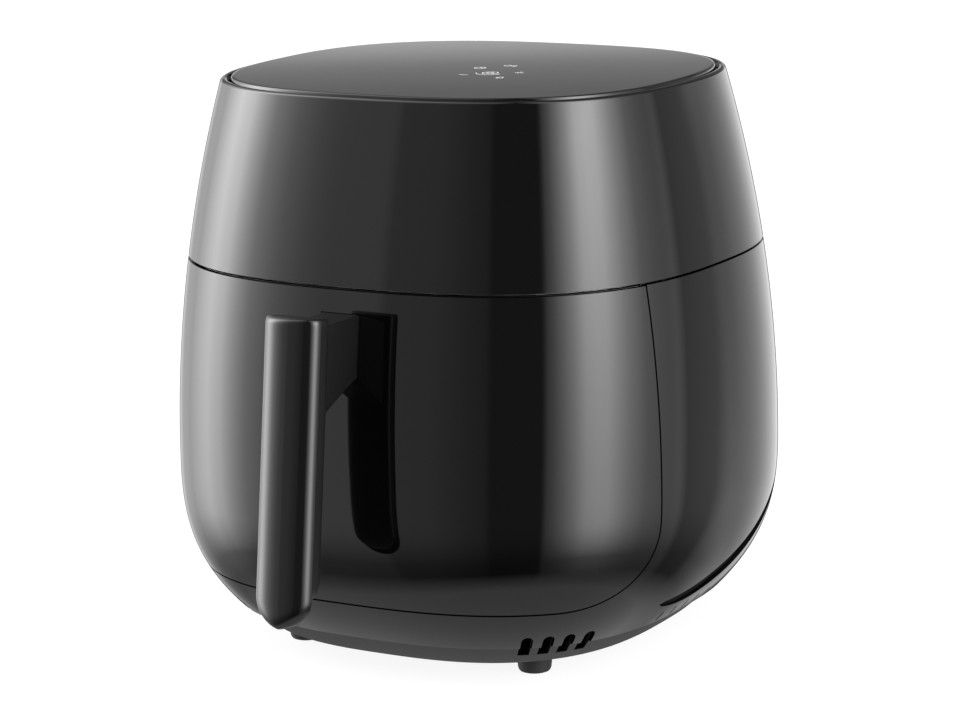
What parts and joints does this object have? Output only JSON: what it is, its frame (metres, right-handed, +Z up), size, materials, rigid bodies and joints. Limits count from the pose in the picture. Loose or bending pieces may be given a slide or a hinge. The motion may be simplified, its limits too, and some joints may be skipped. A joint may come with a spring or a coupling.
{
  "type": "basket air fryer",
  "caption": "Countertop basket air fryer: barrel-shaped gloss housing with touch panel, pull-out drawer with handle, lift-out crisper plate, fan and heating element.",
  "frame": {"origin": "on the floor, below the middle of the overall width and depth, handle included", "axes": "+Z up, -Y towards the user, the way the drawer pulls out, +X to the right seen from above with the front at the bottom"},
  "size_m": [0.3, 0.3599, 0.3012],
  "materials": {
    "gloss_housing": "polished near-black ABS",
    "panel_glass": "black printed touch glass",
    "matte_black": "fine-grained black plastic",
    "handle_gloss": "satin-gloss anthracite plastic",
    "rubber": "black rubber",
    "silicone": "dark grey silicone",
    "circuit_board": "green solder mask",
    "zinc_steel": "zinc-plated steel",
    "aluminised_steel": "aluminised sheet steel",
    "element_sheath": "heat-tinted stainless sheath",
    "bright_steel": "bright steel",
    "laminated_steel": "stacked laminations",
    "copper_winding": "taped copper winding",
    "ceramic": "white ceramic",
    "fan_plastic": "dark nylon",
    "fan_aluminium": "pressed aluminium",
    "nonstick": "dark nonstick coating"
  },
  "bodies": {
    "housing": {"upper_housing": "gloss_housing", "panel_gasket": "rubber", "control_panel": "panel_glass", "panel_carrier": "matte_black", "control_board": "circuit_board", "display_module": "circuit_board", "touch_springs": "bright_steel", "upper_deck": "zinc_steel", "deck_screws": "bright_steel", "heater_dome": "aluminised_steel", "heating_element": "element_sheath", "element_clips": "zinc_steel", "element_guard": "zinc_steel", "temperature_sensor": "bright_steel", "thermal_cutout": "ceramic", "motor_bracket": "zinc_steel", "bracket_screws": "bright_steel", "motor_stator": "laminated_steel", "motor_coil": "copper_winding", "motor_bearings": "matte_black", "power_board": "circuit_board", "lower_shell": "gloss_housing", "side_baffles": "matte_black", "front_bezel": "matte_black", "chamber_liner": "aluminised_steel", "guide_rails": "zinc_steel", "exhaust_duct": "aluminised_steel", "exhaust_grille": "matte_black", "cord_bushing": "rubber", "drawer_sensor": "matte_black", "base_pan": "matte_black", "rubber_feet": "rubber", "foot_screws": "bright_steel"},
    "fan_rotor": {"motor_shaft": "bright_steel", "motor_rotor": "laminated_steel", "cooling_fan": "fan_plastic", "convection_fan": "fan_aluminium", "fan_nut": "bright_steel"},
    "drawer": {"drawer_front": "gloss_housing", "drawer_liner": "matte_black", "handle_front": "handle_gloss", "handle_back": "matte_black", "handle_bracket": "zinc_steel", "handle_screws": "bright_steel", "basket": "nonstick", "basket_screws": "bright_steel", "sensor_magnet": "bright_steel"},
    "crisper": {"crisper_plate": "nonstick", "plate_bumpers": "silicone"}
  },
  "joints": [
    {"name": "drawer_slide", "type": "slide", "parent": "housing", "child": "drawer", "axis": [0, -1, 0], "range_m": [0, 0.155]},
    {"name": "plate_lift", "type": "slide", "parent": "drawer", "child": "crisper", "axis": [0, 0, 1], "range_m": [0, 0.12]},
    {"name": "fan_spin", "type": "hinge", "parent": "housing", "child": "fan_rotor", "pos_m": [0, 0.0298, 0.24], "axis": [0, 0, 1], "continuous": true}
  ]
}
